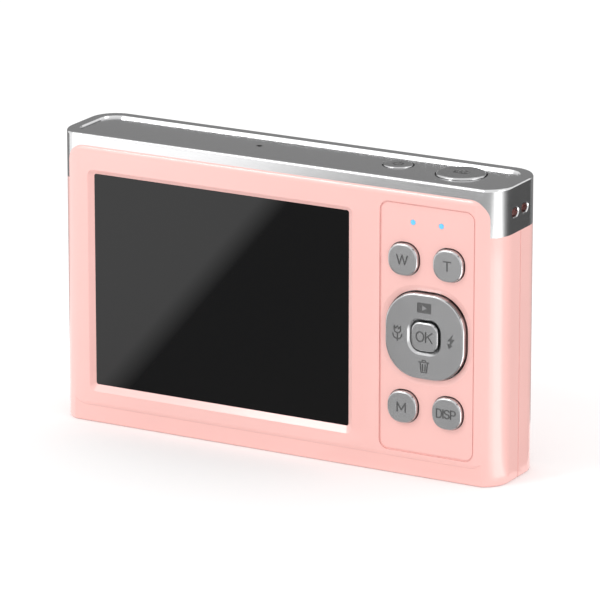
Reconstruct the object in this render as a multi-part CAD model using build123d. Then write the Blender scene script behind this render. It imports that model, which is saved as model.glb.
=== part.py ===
"""Compact digital camera, built as an assembly of separate pieces, in millimetres.

Seen by the user: +X is the right-hand side, +Y is the way the lens points, +Z is up.
Everything is laid out about the middle of the body's depth and width, standing on z = 0, and is
moved at export so that the origin is the middle of the tripod socket's mouth.
"""

import math
import os

from build123d import *

# Body
WIDTH, DEPTH, HEIGHT = 100.0, 19.4, 60.4
CORNER_R = 5.8            # upright corners of the body
WALL = 1.4
BACK, FRONT = -DEPTH / 2, DEPTH / 2
STEP = 0.5                # how far the back panel stands proud of the strips round it
SEAM_W, SEAM_DEPTH = 0.18, 0.15   # groove along the parting line of the two covers
PANEL_X, PANEL_LOW, PANEL_HIGH = 47.7, 3.5, 58.1
PANEL_R, PANEL_ROUND = 4.0, 1.4
TRIM_LOW = 50.7           # lower edge of the metal trim on the two ends
TRAY_X, TRAY_Y, TRAY_R = 47.6, 7.2, 3.6     # half sizes and corners of the sunk floor on the top
TRAY_SINK, TRAY_SLOPE = 0.4, 0.12
LIP = 0.65                # tongue of the front cover inside the back cover's edge
LIP_LENGTH = 1.2
GAP = 0.15                # play round a fixed piece in its opening

# Display
GLASS_X0, GLASS_X1, GLASS_Z0, GLASS_Z1 = -41.6, 16.8, 8.05, 52.35
GLASS_SINK, GLASS_THICK, GLASS_LAP, BEVEL = 0.8, 0.8, 1.1, 1.15
LCD_Y0, LCD_Y1 = -8.0, -5.4

# Keys on the back
KEYPAD_X0, KEYPAD_X1, KEYPAD_Z0, KEYPAD_Z1 = 24.0, 45.0, 4.85, 55.75
KEYPAD_R, KEYPAD_SINK = 2.0, 0.22
LINE_W, LINE_DEPTH = 0.32, 0.15   # fine line round the keypad
NAV_X, NAV_Z = 34.4, 29.35
KEY_DX, KEY_DZ = 4.95, 15.05
KEY_SIZE, KEY_R, KEY_PLAY = 6.5, 2.85, 0.2
KEY_FACE = BACK - 0.8
KEY_TRAVEL = 0.5
NAV_SIZE, NAV_R, NAV_PLAY = 17.4, 7.0, 0.27
NAV_SWITCH_R = 7.0
OK_SIZE, OK_R, OK_PLAY = 5.9, 1.9, 0.3
SWITCH_TOP = -5.9
LIGHT_Z, LIGHT_DX, LIGHT_R = 52.0, 3.1, 0.5

# Keys on the top
SHUTTER_X, SHUTTER_Y, SHUTTER_R, SHUTTER_TOP = 36.5, 0.7, 4.95, 60.45
POWER_X, POWER_Y, POWER_R, POWER_TOP = 22.3, 1.2, 2.95, 60.25
TOP_PLAY = 0.27
MIC_X, MIC_Y, MIC_R = -8.9, 0.8, 0.6
TOP_BOARD_Z0, TOP_BOARD_Z1 = 53.0, 53.8

# Boards and frame
BOARD_Y0, BOARD_Y1 = -4.9, -4.1
FRAME_Y0, FRAME_Y1 = -0.2, 0.8

# Lens
LENS_X, LENS_Z = -14.0, 28.5
RING_R, RING_INNER_R, RING_FRONT = 17.0, 13.6, FRONT + 2.6
BARREL_FRONT = FRONT + 4.9

# Front lights
FLASH_X, FLASH_Z, FLASH_W, FLASH_H = 8.0, 50.0, 10.0, 6.0
LAMP_X, LAMP_Z, LAMP_R = 21.0, 50.0, 1.4

# Battery and its door
BATTERY_X0, BATTERY_X1 = 12.4, 43.8
BATTERY_Y0, BATTERY_Y1 = 1.6, 7.5
BATTERY_Z0, BATTERY_Z1 = 2.6, 42.1
DOOR_X0, DOOR_Y0, DOOR_Y1 = 11.5, 0.85, 8.15
HINGE_X, HINGE_Z, HINGE_R, PIN_R = 45.3, 0.75, 0.75, 0.35

# Sockets
TRIPOD_Y, TRIPOD_R, TRIPOD_OUTER_R, TRIPOD_DEPTH = 4.6, 2.6, 3.8, 7.0
USB_Y, USB_Z, USB_W, USB_H = -2.5, 21.5, 8.9, 3.2
CARD_Z0, CARD_Z1, CARD_Y0, CARD_Y1 = 31.0, 42.0, -3.55, -2.75
STRAP_Y, STRAP_DY, STRAP_Z = -0.35, 2.05, 54.8
STRAP_W, STRAP_H = 2.7, 1.8

# Fasteners
SCREW_R, SCREW_HEAD_R = 0.7, 1.3
BACK_BOSSES = [(-45.8, 8.0), (-45.8, 45.5), (21.4, 6.5), (46.2, 42.0)]
BOTTOM_SCREWS_X = [-41.0, 7.8]
SIDE_SCREWS_Z = [12.0, 46.0]

# Engraving
STROKE_W, STROKE_DEPTH = 0.32, 0.16

PARTS = "parts"
TO_ORIGIN = Pos(0, -TRIPOD_Y, 0)


# ---------------------------------------------------------------- shapes

def box(x0, x1, y0, y1, z0, z1):
    return Pos((x0 + x1) / 2, (y0 + y1) / 2, (z0 + z1) / 2) * Box(x1 - x0, y1 - y0, z1 - z0)


def outline(z0, z1, inset=0.0):
    """The body's plan, a rectangle with round corners, from z0 to z1."""
    plan = RectangleRounded(WIDTH - 2 * inset, DEPTH - 2 * inset, CORNER_R - inset)
    return Pos(0, 0, z0) * extrude(plan, z1 - z0)


def upright(x, z):
    """A sketch plane in XZ at (x, z), for things that reach along Y."""
    return lambda y: Plane(origin=(x, y, z), x_dir=(1, 0, 0), z_dir=(0, -1, 0))


def along_y(sketch, x, z, y0, y1):
    """The XZ sketch, centred at (x, z), as a solid from y0 to y1."""
    return extrude(upright(x, z)(y1) * sketch, y1 - y0)


def slab(x0, x1, z0, z1, radius, y0, y1):
    return along_y(RectangleRounded(x1 - x0, z1 - z0, radius), (x0 + x1) / 2, (z0 + z1) / 2, y0, y1)


def square(size, radius, x, z, y0, y1):
    return along_y(RectangleRounded(size, size, radius), x, z, y0, y1)


def rod_y(x, z, radius, y0, y1):
    return along_y(Circle(radius), x, z, y0, y1)


def rod_z(x, y, radius, z0, z1):
    return Pos(x, y, z0) * extrude(Circle(radius), z1 - z0)


def rod_x(y, z, radius, x0, x1):
    plane = Plane(origin=(x0, y, z), x_dir=(0, 1, 0), z_dir=(1, 0, 0))
    return extrude(plane * Circle(radius), x1 - x0)


def along_x(sketch, y, z, x0, x1):
    """The YZ sketch, centred at (y, z), as a solid from x0 to x1."""
    plane = Plane(origin=(x0, y, z), x_dir=(0, 1, 0), z_dir=(1, 0, 0))
    return extrude(plane * sketch, x1 - x0)


def rim_edges(part, y):
    """The edges of a part that lie wholly in the plane at y."""
    return [e for e in part.edges() if abs(e.bounding_box().min.Y - y) < 1e-4
            and abs(e.bounding_box().max.Y - y) < 1e-4]


def level_edges(part, z):
    """The edges of a part that lie wholly in the plane at z."""
    return [e for e in part.edges() if abs(e.bounding_box().min.Z - z) < 1e-4
            and abs(e.bounding_box().max.Z - z) < 1e-4]


# ---------------------------------------------------------------- engraved marks

def arc(cx, cy, rx, ry, start, end, steps=10):
    """Points round part of an ellipse, angles in degrees."""
    turns = [math.radians(start + (end - start) * i / steps) for i in range(steps + 1)]
    return [(cx + rx * math.cos(t), cy + ry * math.sin(t)) for t in turns]


def stroke(points, width=STROKE_W):
    """A line of even width with round ends through the points, as one sketch."""
    drawn = None
    for (x0, y0), (x1, y1) in zip(points, points[1:]):
        length = math.hypot(x1 - x0, y1 - y0)
        if length < 0.01:
            continue
        turn = math.degrees(math.atan2(y1 - y0, x1 - x0))
        bit = Pos((x0 + x1) / 2, (y0 + y1) / 2) * Rot(0, 0, turn) * SlotCenterToCenter(length, width)
        drawn = bit if drawn is None else drawn + bit
    return drawn


LETTERS = {
    "W": (1.3, [[(-1, 1), (-0.5, -1), (0, 1), (0.5, -1), (1, 1)]]),
    "T": (0.85, [[(-1, 1), (1, 1)], [(0, 1), (0, -1)]]),
    "M": (1.0, [[(-1, -1), (-1, 1), (0, -0.6), (1, 1), (1, -1)]]),
    "O": (0.85, [arc(0, 0, 1, 1, 0, 360, 24)]),
    "K": (0.7, [[(-1, 1), (-1, -1)], [(1, 1), (-1, -0.15)], [(-0.35, 0.25), (1, -1)]]),
    "D": (0.65, [[(-1, -1), (-1, 1), (0, 1)] + arc(0, 0, 1, 1, 90, -90) + [(-1, -1)]]),
    "I": (0.0, [[(0, -1), (0, 1)]]),
    "S": (0.6, [arc(0, 0.5, 1, 0.5, 20, 270) + arc(0, -0.5, 1, 0.5, 90, -160)]),
    "P": (0.6, [[(-1, -1), (-1, 1), (0.1, 1)] + arc(0.1, 0.45, 0.9, 0.55, 90, -90) + [(-1, -0.1)]]),
}


def word(text, height, spacing=0.42):
    """Letters side by side, centred, as one sketch. Each letter is drawn 2 units wide and high."""
    half = height / 2
    widths = [LETTERS[c][0] * height for c in text]
    total = sum(widths) + spacing * (len(text) - 1)
    drawn, left = None, -total / 2
    for letter, width in zip(text, widths):
        centre = left + width / 2
        for line in LETTERS[letter][1]:
            bit = stroke([(centre + x * width / 2, y * half) for x, y in line])
            drawn = bit if drawn is None else drawn + bit
        left += width + spacing
    return drawn


def joined(lines, width=0.24):
    drawn = stroke(lines[0], width)
    for line in lines[1:]:
        drawn = drawn + stroke(line, width)
    return drawn


def play_mark():
    return RectangleRounded(3.1, 2.1, 0.25) - Polygon((-0.45, -0.55), (-0.45, 0.55), (0.6, 0), align=None)


def flower_mark():
    """A tulip between two leaves."""
    cup = [(-0.7, 1.5), (-0.7, 0.75)] + arc(0, 0.7, 0.7, 0.6, 180, 360, 8) + [(0.7, 1.5)]
    petals = cup + [(0.33, 0.95), (0, 1.5), (-0.33, 0.95), (-0.7, 1.5)]
    leaves = [[(-1.0, -0.1)] + arc(-0.05, -0.1, 0.95, 1.0, 180, 270, 5),
              [(1.0, -0.1)] + arc(0.05, -0.1, 0.95, 1.0, 360, 270, 5)]
    return joined([petals, [(0, 0.1), (0, -1.5)]] + leaves, 0.28)


def bolt_mark():
    """A zigzag flash with an arrow head at its foot."""
    return Polygon((0.55, 1.6), (-0.75, -0.05), (-0.12, -0.05), (-0.3, -0.62), (-0.78, -0.5), (-0.45, -1.65),
                   (0.4, -0.85), (0.02, -0.72), (0.85, 0.45), (0.15, 0.45), align=None)


def bin_mark():
    bin_body = [(-0.8, 0.6), (-0.6, -1.3), (0.6, -1.3), (0.8, 0.6)]
    handle = [(-0.35, 0.75), (-0.35, 1.15), (0.35, 1.15), (0.35, 0.75)]
    ribs = [[(x, 0.3), (x * 0.85, -1.0)] for x in (-0.3, 0.3)]
    return joined([bin_body, [(-1.1, 0.75), (1.1, 0.75)], handle] + ribs, 0.27)


def power_mark():
    return joined([arc(0, 0, 0.95, 0.95, 125, 415, 16), [(0, 0.25), (0, 1.25)]], 0.26)


def still_mark():
    """A little camera seen from the front."""
    case = RectangleRounded(3.2, 2.1, 0.4) + Pos(0, 1.05) * RectangleRounded(1.3, 0.7, 0.2)
    return case - Circle(0.75) + Circle(0.42)


def engrave_y(part, sketch, x, z, face):
    return part - along_y(sketch, x, z, face - 1, face + STROKE_DEPTH)


def engrave_z(part, sketch, x, y, face):
    return part - Pos(x, y, face - STROKE_DEPTH) * extrude(sketch, 1)


# ---------------------------------------------------------------- covers and trim

def proud_panel():
    """The raised panel on the back, its outer edge rounded."""
    straight = slab(-PANEL_X, PANEL_X, PANEL_LOW, PANEL_HIGH, PANEL_R, BACK, FRONT)
    drop = PANEL_ROUND - math.sqrt(PANEL_ROUND ** 2 - (PANEL_ROUND - STEP) ** 2)
    wide = slab(-PANEL_X - drop, PANEL_X + drop, PANEL_LOW - drop, PANEL_HIGH + drop,
                PANEL_R + drop, BACK, FRONT)
    wide = fillet(rim_edges(wide, BACK), PANEL_ROUND)
    return straight & wide


def body_block():
    """The plastic body, both covers as one solid block with nothing inside."""
    plain = box(-WIDTH, WIDTH, BACK + STEP, FRONT, 0, TRIM_LOW)
    inner = slab(-PANEL_X, PANEL_X, PANEL_LOW, PANEL_HIGH, PANEL_R, BACK + STEP, FRONT)
    shape = outline(0, HEIGHT) & (plain + inner + proud_panel())
    return fillet(level_edges(shape, 0), 0.4)


def cavity():
    """The space inside the covers."""
    tall = slab(-PANEL_X + WALL, PANEL_X - WALL, WALL, PANEL_HIGH - 1.2, PANEL_R - 1.1, BACK, FRONT)
    return outline(WALL, TRIM_LOW - WALL, WALL) + (outline(WALL, HEIGHT, WALL) & tall)


def strap_boss():
    """Thick wall behind the strap holes, with the pocket that the cord turns in."""
    boss = box(PANEL_X - 3.4, PANEL_X - 0.7, STRAP_Y - 5.0, STRAP_Y + 5.0, STRAP_Z - 2.4, STRAP_Z + 2.3)
    boss &= slab(-PANEL_X, PANEL_X, PANEL_LOW, PANEL_HIGH, PANEL_R, BACK, FRONT)
    pocket = along_x(RectangleRounded(2 * STRAP_DY + STRAP_W, STRAP_H, 0.8), STRAP_Y, STRAP_Z,
                     PANEL_X - 2.2, WIDTH)
    return boss, pocket


def top_openings():
    """Openings in the plastic top wall for the keys and the microphone."""
    return (rod_z(SHUTTER_X, SHUTTER_Y, SHUTTER_R + 1.3, 50, HEIGHT)
            + rod_z(POWER_X, POWER_Y, POWER_R + 1.2, 50, HEIGHT)
            + rod_z(MIC_X, MIC_Y, MIC_R, 50, HEIGHT))


def half_cover(side):
    """One cover: its share of the block, hollowed. side -1 is the back, 1 the front."""
    reach = DEPTH
    near, far = sorted((0, side * reach))
    half = box(-WIDTH, WIDTH, near, far, -1, HEIGHT)
    boss, pocket = strap_boss()
    groove = box(-WIDTH, WIDTH, -SEAM_W / 2, SEAM_W / 2, -1, TRIM_LOW)
    groove -= outline(SEAM_DEPTH, HEIGHT, SEAM_DEPTH)
    return ((body_block() - cavity() + (boss & half)) & half) - groove - pocket - top_openings()


def seam_tongue(inset, play):
    """A ring just inside the parting line, which the front cover carries and the back cover clears."""
    outer = outline(WALL, TRIM_LOW - WALL, inset - play) - outline(0, HEIGHT, WALL + play)
    floor = box(-44, 44, -LIP_LENGTH, 0, inset - play, WALL + play)
    sides = outer & box(-WIDTH, WIDTH, -LIP_LENGTH - play, 0, WALL, TRIM_LOW - WALL)
    return sides + floor


def rear_cover():
    part = half_cover(-1)
    for x, z in BACK_BOSSES:
        part += rod_y(x, z, 1.6, BACK + WALL - 0.2, BOARD_Y0)
        part -= rod_y(x, z, SCREW_R, BACK + WALL + 0.3, 0)
    part -= seam_tongue(WALL - LIP, 0.08)
    # display opening: a bevelled frame down to the glass, and a seat for the glass behind it
    middle_x, middle_z = (GLASS_X0 + GLASS_X1) / 2, (GLASS_Z0 + GLASS_Z1) / 2
    glass_w, glass_h = GLASS_X1 - GLASS_X0, GLASS_Z1 - GLASS_Z0
    mouth = RectangleRounded(glass_w + 2 * BEVEL, glass_h + 2 * BEVEL, 1.3)
    mouth = upright(middle_x, middle_z - 0.2)(BACK) * mouth
    seat_face = upright(middle_x, middle_z)(BACK + GLASS_SINK) * RectangleRounded(glass_w, glass_h, 0.5)
    part -= loft([mouth, seat_face])
    part -= slab(GLASS_X0, GLASS_X1, GLASS_Z0, GLASS_Z1, 0.5, BACK, 0)
    lap = GLASS_LAP + GAP
    part -= slab(GLASS_X0 - lap, GLASS_X1 + lap, GLASS_Z0 - lap, GLASS_Z1 + lap, 1.0, BACK + GLASS_SINK, -3)
    # keypad recess and its openings
    floor = BACK + KEYPAD_SINK
    wide, slope = 0.16, KEYPAD_SINK
    centre = ((KEYPAD_X0 + KEYPAD_X1) / 2, (KEYPAD_Z0 + KEYPAD_Z1) / 2)
    pad_w, pad_h = KEYPAD_X1 - KEYPAD_X0, KEYPAD_Z1 - KEYPAD_Z0
    high, low = [upright(*centre)(y) * RectangleRounded(pad_w + 2 * grow, pad_h + 2 * grow, KEYPAD_R + grow)
                 for y, grow in ((BACK - slope, wide), (floor, -wide))]
    part -= loft([high, low])
    line = slab(KEYPAD_X0, KEYPAD_X1, KEYPAD_Z0, KEYPAD_Z1, KEYPAD_R, BACK, floor + LINE_DEPTH)
    part -= line - slab(KEYPAD_X0 + LINE_W, KEYPAD_X1 - LINE_W, KEYPAD_Z0 + LINE_W, KEYPAD_Z1 - LINE_W,
                        KEYPAD_R - LINE_W, BACK - 1, 0)
    nav_hole = NAV_SIZE + 2 * NAV_PLAY
    rim = upright(NAV_X, NAV_Z)(floor) * RectangleRounded(nav_hole + 2.3, nav_hole + 2.3, NAV_R + 1.4)
    throat = upright(NAV_X, NAV_Z)(floor + 0.3) * RectangleRounded(nav_hole, nav_hole, NAV_R + 0.3)
    part -= loft([rim, throat])
    part -= square(nav_hole, NAV_R + 0.3, NAV_X, NAV_Z, BACK, BACK + 2)
    for x, z in small_key_places().values():
        part -= square(KEY_SIZE + 2 * KEY_PLAY, KEY_R + 0.25, x, z, BACK, BACK + 2)
    for side in (-1, 1):
        part -= rod_y(NAV_X + side * LIGHT_DX, LIGHT_Z, LIGHT_R + 0.05, BACK, BACK + 2)
    # sockets in the left-hand end
    part -= along_x(SlotOverall(USB_W + 0.4, USB_H + 0.4, rotation=90), USB_Y, USB_Z, -WIDTH, -40)
    part -= box(-WIDTH, -40, CARD_Y0 - 0.25, CARD_Y1 + 0.25, CARD_Z0 - 0.4, CARD_Z1 + 0.4)
    return part


def small_key_places():
    return {
        "w_button": (NAV_X - KEY_DX, NAV_Z + KEY_DZ),
        "t_button": (NAV_X + KEY_DX, NAV_Z + KEY_DZ),
        "menu_button": (NAV_X - KEY_DX, NAV_Z - KEY_DZ),
        "disp_button": (NAV_X + KEY_DX, NAV_Z - KEY_DZ),
    }


def front_cover():
    part = half_cover(1)
    tongue = seam_tongue(WALL - LIP, 0.0)
    part += tongue - box(-WIDTH, -44, -2, 0.1, USB_Z - 6, USB_Z + 6)
    part -= rod_y(LENS_X, LENS_Z, RING_INNER_R + 1.4, 0, FRONT + 1)
    part -= slab(FLASH_X - FLASH_W / 2 - GAP, FLASH_X + FLASH_W / 2 + GAP,
                 FLASH_Z - FLASH_H / 2 - GAP, FLASH_Z + FLASH_H / 2 + GAP, 1.6, 0, FRONT + 1)
    part -= rod_y(LAMP_X, LAMP_Z, LAMP_R + 0.08, 0, FRONT + 1)
    # boss round the tripod socket
    boss = rod_z(0, TRIPOD_Y, TRIPOD_OUTER_R + 0.8, WALL / 2, TRIPOD_DEPTH)
    part += boss & box(-9, 9, 0.0, FRONT - 1.0, 0, 9)
    part -= rod_z(0, TRIPOD_Y, TRIPOD_OUTER_R, -1, TRIPOD_DEPTH + 1)
    # opening for the battery door, and its two hinge lugs
    part -= box(DOOR_X0 - GAP, HINGE_X + HINGE_R + 0.12, DOOR_Y0 - GAP, DOOR_Y1 + GAP, -1, WALL + 0.6)
    for y0, y1 in ((DOOR_Y0 - GAP, DOOR_Y0 + 0.55), (DOOR_Y1 - 0.55, DOOR_Y1 + GAP)):
        part += rod_y(HINGE_X, HINGE_Z, HINGE_R, y0, y1)
        part += box(HINGE_X, HINGE_X + HINGE_R + 0.3, y0, y1, 0.25, 2 * HINGE_R)
    part -= rod_y(HINGE_X, HINGE_Z, PIN_R + 0.01, DOOR_Y0 - 0.1, DOOR_Y1 + 0.1)
    # countersunk screws and the speaker's holes
    for x in BOTTOM_SCREWS_X:
        part -= screw_space_z(x)
    for z in SIDE_SCREWS_Z:
        part -= screw_space_x(z)
    for i in range(5):
        part -= rod_z(-30.0 + 2.5 * i, TRIPOD_Y, 0.5, -1, WALL + 1)
    return part


def screw_space_z(x):
    return (rod_z(x, TRIPOD_Y, SCREW_HEAD_R + 0.12, -1, 0.75)
            + rod_z(x, TRIPOD_Y, SCREW_R + 0.15, -1, WALL + 0.5))


def screw_space_x(z):
    return (rod_x(TRIPOD_Y - 1.6, z, SCREW_HEAD_R + 0.12, -WIDTH / 2 - 1, -WIDTH / 2 + 0.75)
            + rod_x(TRIPOD_Y - 1.6, z, SCREW_R + 0.15, -WIDTH / 2 - 1, -WIDTH / 2 + WALL + 0.5))


def top_trim():
    """The metal cap that runs over the top and down both ends."""
    strip = outline(TRIM_LOW, HEIGHT) & box(-WIDTH, WIDTH, BACK + STEP, FRONT, 0, HEIGHT)
    strip = fillet(level_edges(strip, HEIGHT), 0.5)
    high, low = [Pos(0, 0, z) * RectangleRounded(2 * (TRAY_X - slope), 2 * (TRAY_Y - slope), TRAY_R - slope)
                 for z, slope in ((HEIGHT, 0), (HEIGHT - TRAY_SINK, TRAY_SLOPE))]
    strip -= loft([high, low])
    strip -= slab(-PANEL_X, PANEL_X, PANEL_LOW, PANEL_HIGH, PANEL_R, BACK, FRONT)
    strip -= rod_z(SHUTTER_X, SHUTTER_Y, SHUTTER_R + TOP_PLAY, 50, HEIGHT + 1)
    strip -= rod_z(POWER_X, POWER_Y, POWER_R + TOP_PLAY, 50, HEIGHT + 1)
    strip -= rod_z(MIC_X, MIC_Y, MIC_R, 50, HEIGHT + 1)
    for side in (-1, 1):
        y = STRAP_Y + side * STRAP_DY
        strip -= along_x(SlotOverall(STRAP_W, STRAP_H), y, STRAP_Z, 40, WIDTH)
        plane = Plane(origin=(WIDTH / 2 - 0.2, y, STRAP_Z), x_dir=(0, 1, 0), z_dir=(1, 0, 0))
        inner = plane * SlotOverall(STRAP_W, STRAP_H)
        outer = plane.offset(0.3) * SlotOverall(STRAP_W + 0.5, STRAP_H + 0.5)
        strip -= loft([inner, outer])
    return strip


# ---------------------------------------------------------------- display

def display_window():
    lap = GLASS_LAP
    return slab(GLASS_X0 - lap, GLASS_X1 + lap, GLASS_Z0 - lap, GLASS_Z1 + lap, 0.9,
                BACK + GLASS_SINK, BACK + GLASS_SINK + GLASS_THICK)


def lcd_panel():
    """Glass cell of the display, in front of its backlight as the user sees it."""
    return box(-42.4, 17.6, LCD_Y0, LCD_Y0 + 1.0, 7.2, 53.2)


def lcd_backlight():
    tray = box(-43.0, 18.4, LCD_Y0, LCD_Y1, 6.2, 54.0)
    return tray - box(-42.45, 17.65, LCD_Y0 - 1, LCD_Y0 + 1.02, 7.15, 53.25)


def lcd_bracket():
    """Thin steel tray that holds the display against its window."""
    plate = box(-43.6, 19.0, -5.36, -5.0, 5.6, 54.6)
    for x in (-30, -10, 8):
        plate -= slab(x - 6, x + 6, 20, 40, 2, -6, -4)
    for z0, z1 in ((5.6, 6.0), (54.2, 54.6)):
        plate += box(-43.6, 19.0, -7.2, -5.0, z0, z1)
    return plate - box(-22.5, -7.5, -8, -4, 5, 6.05)


def lcd_flex():
    """Ribbon from the foot of the display, round the bracket, to the main board."""
    return box(-22, -8, -7.0, -6.8, 4.3, 6.15) + box(-22, -8, -7.0, BOARD_Y0 - 0.02, 4.3, 4.5)


# ---------------------------------------------------------------- keys on the back

def key_cap(x, z, size, radius, face, back):
    """A key's cap, its outer edge rounded."""
    cap = square(size, radius, x, z, face, back)
    return fillet(rim_edges(cap, face), 0.42)


def small_key(x, z, mark):
    part = key_cap(x, z, KEY_SIZE, KEY_R, KEY_FACE, -8.2)
    part += square(KEY_SIZE + 1.4, KEY_R + 0.6, x, z, -8.2, -7.6)
    part += rod_y(x, z, 1.1, -7.6, SWITCH_TOP - KEY_TRAVEL - 0.05)
    return engrave_y(part, mark, x, z, KEY_FACE)


def ok_button():
    part = key_cap(NAV_X, NAV_Z, OK_SIZE, OK_R, KEY_FACE, -6.8)
    part += square(OK_SIZE + 1.6, OK_R + 0.5, NAV_X, NAV_Z, -6.8, -6.4)
    part += rod_y(NAV_X, NAV_Z, 1.1, -6.4, SWITCH_TOP - 0.45)
    return engrave_y(part, word("OK", 1.95), NAV_X, NAV_Z, KEY_FACE)


def nav_pad():
    part = key_cap(NAV_X, NAV_Z, NAV_SIZE, NAV_R, KEY_FACE, -7.7)
    part += square(NAV_SIZE + 1.3, NAV_R + 0.5, NAV_X, NAV_Z, -7.7, -7.15)
    hole, wide = OK_SIZE + 2 * OK_PLAY, 0.5
    mouth = upright(NAV_X, NAV_Z)(KEY_FACE) * RectangleRounded(hole + 2 * wide, hole + 2 * wide, OK_R + 0.8)
    throat = upright(NAV_X, NAV_Z)(KEY_FACE + wide) * RectangleRounded(hole, hole, OK_R + 0.3)
    part -= loft([mouth, throat])
    part -= square(hole, OK_R + 0.3, NAV_X, NAV_Z, KEY_FACE - 1, -7)
    for x, z in nav_switch_places():
        part += rod_y(x, z, 0.8, -7.15, -6.25)
    reach = 5.9
    part = engrave_y(part, play_mark(), NAV_X, NAV_Z + reach, KEY_FACE)
    part = engrave_y(part, bin_mark(), NAV_X, NAV_Z - reach, KEY_FACE)
    part = engrave_y(part, flower_mark(), NAV_X - reach, NAV_Z, KEY_FACE)
    return engrave_y(part, bolt_mark(), NAV_X + reach, NAV_Z, KEY_FACE)


def nav_rocker_ring():
    """Ring under the pad that carries one of its two ways of tilting."""
    ring = rod_y(NAV_X, NAV_Z, 5.6, -6.7, -6.2) - rod_y(NAV_X, NAV_Z, 4.8, -7, -6)
    for side in (-1, 1):
        ring += rod_y(NAV_X, NAV_Z + side * 5.2, 0.35, -6.2, -5.7)
    return ring


def nav_switch_places():
    turns = [math.radians(90 * i) for i in range(4)]
    return [(NAV_X + NAV_SWITCH_R * math.cos(t), NAV_Z + NAV_SWITCH_R * math.sin(t)) for t in turns]


def tact_switch(x, z, size):
    base = slab(x - size / 2, x + size / 2, z - size / 2, z + size / 2, 0.3, SWITCH_TOP + 0.4, BOARD_Y0)
    return base + rod_y(x, z, 0.75, SWITCH_TOP, SWITCH_TOP + 0.4)


def key_switches():
    solids = [tact_switch(x, z, 3.2) for x, z in small_key_places().values()]
    solids += [tact_switch(x, z, 2.4) for x, z in nav_switch_places()]
    return solids + [tact_switch(NAV_X, NAV_Z, 3.2)]


def indicator_light_pipes():
    """Clear pins that bring the light of two chips to the back."""
    pipes = []
    for side in (-1, 1):
        x = NAV_X + side * LIGHT_DX
        pin = rod_y(x, LIGHT_Z, LIGHT_R, BACK + KEYPAD_SINK - 0.06, -8.25)
        pin = fillet(rim_edges(pin, BACK + KEYPAD_SINK - 0.06), 0.05)
        pipes.append(pin + rod_y(x, LIGHT_Z, 0.9, -8.25, -7.4))
    return pipes


def indicator_leds():
    return [box(NAV_X + s * LIGHT_DX - 0.8, NAV_X + s * LIGHT_DX + 0.8, -5.6, BOARD_Y0,
                LIGHT_Z - 0.5, LIGHT_Z + 0.5) for s in (-1, 1)]


# ---------------------------------------------------------------- keys and microphone on the top

def top_key(x, y, radius, top, flange, stem, foot, edge):
    cap = rod_z(x, y, radius, 57.9, top)
    cap = fillet(level_edges(cap, top), edge)
    return cap + rod_z(x, y, flange, 57.3, 57.9) + rod_z(x, y, stem, foot, 57.3)


def shutter_button():
    part = top_key(SHUTTER_X, SHUTTER_Y, SHUTTER_R, SHUTTER_TOP, SHUTTER_R + 0.9, 1.5, 55.65, 0.45)
    return engrave_z(part, still_mark(), SHUTTER_X, SHUTTER_Y, SHUTTER_TOP)


def power_button():
    part = top_key(POWER_X, POWER_Y, POWER_R, POWER_TOP, POWER_R + 0.8, 1.0, 55.2, 0.3)
    return engrave_z(part, power_mark(), POWER_X, POWER_Y, POWER_TOP)


def shutter_spring():
    """Coil under the shutter key, round its switch."""
    wire, mean_r, turns = 0.2, 3.0, 3.5
    low, high = TOP_BOARD_Z1 + wire + 0.03, 57.3 - wire - 0.03
    path = Pos(SHUTTER_X, SHUTTER_Y, low) * Helix((high - low) / turns, high - low, mean_r)
    return sweep(Plane(path @ 0, z_dir=path % 0) * Circle(wire), path)


def top_board():
    return box(17.0, 43.5, -3.6, 5.6, TOP_BOARD_Z0, TOP_BOARD_Z1)


def top_switches():
    made = []
    for x, y in ((SHUTTER_X, SHUTTER_Y), (POWER_X, POWER_Y)):
        base = box(x - 1.6, x + 1.6, y - 1.6, y + 1.6, TOP_BOARD_Z1, TOP_BOARD_Z1 + 0.6)
        made.append(base + rod_z(x, y, 0.8, TOP_BOARD_Z1 + 0.6, TOP_BOARD_Z1 + 0.9))
    return made


def microphone():
    return rod_z(MIC_X, MIC_Y, 2.0, 54.9, 56.2)


def microphone_boot():
    boot = rod_z(MIC_X, MIC_Y, 2.6, 54.5, 56.85) - rod_z(MIC_X, MIC_Y, 2.02, 54.4, 56.22)
    return boot - rod_z(MIC_X, MIC_Y, MIC_R, 56, 57)


# ---------------------------------------------------------------- boards, frame and sockets

def main_board():
    part = slab(-47.4, 47.4, 2.4, 48.9, 1.5, BOARD_Y0, BOARD_Y1)
    part += slab(-45.9, 45.9, 40.0, 52.6, 1.5, BOARD_Y0, BOARD_Y1)
    for x, z in BACK_BOSSES:
        part -= rod_y(x, z, SCREW_R + 0.15, -6, -3)
    return part - box(40, 48, -6, -3, STRAP_Z - 3.4, 60)


def board_chips():
    """Processor, memory, power chips and coils on the front of the main board."""
    places = [(-2.5, 9.5, 18, 30, 1.2), (-1, 8, 33, 41, 0.9), (13, 19, 30, 36, 0.8),
              (13, 17, 20, 24, 1.6), (21, 26, 20, 25, 1.0), (-33, -28, 20, 25, 0.8), (30, 40, 40, 47, 1.2)]
    return [box(x0, x1, BOARD_Y1, BOARD_Y1 + tall, z0, z1) for x0, x1, z0, z1, tall in places]


def shield_can():
    """Folded steel can over the radio-noisy corner of the board."""
    can = box(-33, -21, BOARD_Y1, BOARD_Y1 + 2.2, 5, 16)
    can = fillet(can.edges().filter_by(Axis.Y), 0.6)
    return can - box(-32.8, -21.2, BOARD_Y1 - 1, BOARD_Y1 + 2.0, 5.2, 15.8)


def board_connectors():
    """Flat-cable and battery connectors on the main board."""
    return [box(24, 36, BOARD_Y1, BOARD_Y1 + 1.4, 6, 9), box(12, 20, BOARD_Y1, BOARD_Y1 + 1.4, 44, 47),
            box(-24, -12, BOARD_Y1, BOARD_Y1 + 1.2, 40, 43)]


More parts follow.
